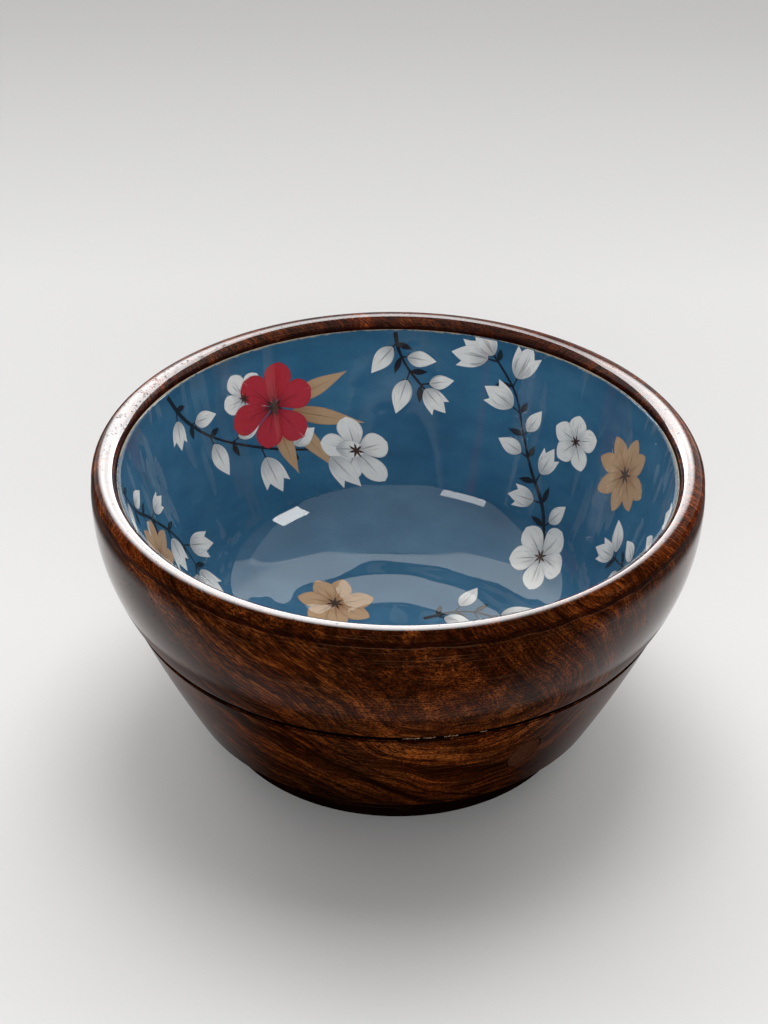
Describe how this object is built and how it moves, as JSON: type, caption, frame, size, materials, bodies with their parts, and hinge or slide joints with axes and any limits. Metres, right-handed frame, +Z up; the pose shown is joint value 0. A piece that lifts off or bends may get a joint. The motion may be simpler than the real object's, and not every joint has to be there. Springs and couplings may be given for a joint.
{
  "type": "wooden salad bowl",
  "caption": "Round turned wooden salad bowl in two glued sections on a low foot ring, lined inside with a printed sheet under a clear glossy coat.",
  "frame": {"origin": "on the bowl's axis, at the level that the foot ring stands on", "axes": "+Z up along the bowl's axis, out of its mouth; -Y towards the picture's camera; the oval patch is in the lower wall 60 degrees from +X towards -Y"},
  "size_m": [0.25, 0.25, 0.1276],
  "materials": {
    "dark_wood": "dark red-brown hardwood with near-black figure, glossy lacquer",
    "foot_wood": "very dark hardwood, satin",
    "patch_wood": "plain brown patch under the same lacquer",
    "printed_sheet": null,
    "clear_coat": "clear poured coat, high gloss"
  },
  "bodies": {
    "root": {"upper_ring": "dark_wood", "lower_bowl": "dark_wood", "foot_ring": "foot_wood", "side_plug": "patch_wood", "printed_lining": "printed_sheet", "clear_resin_liner": "clear_coat"}
  },
  "joints": []
}
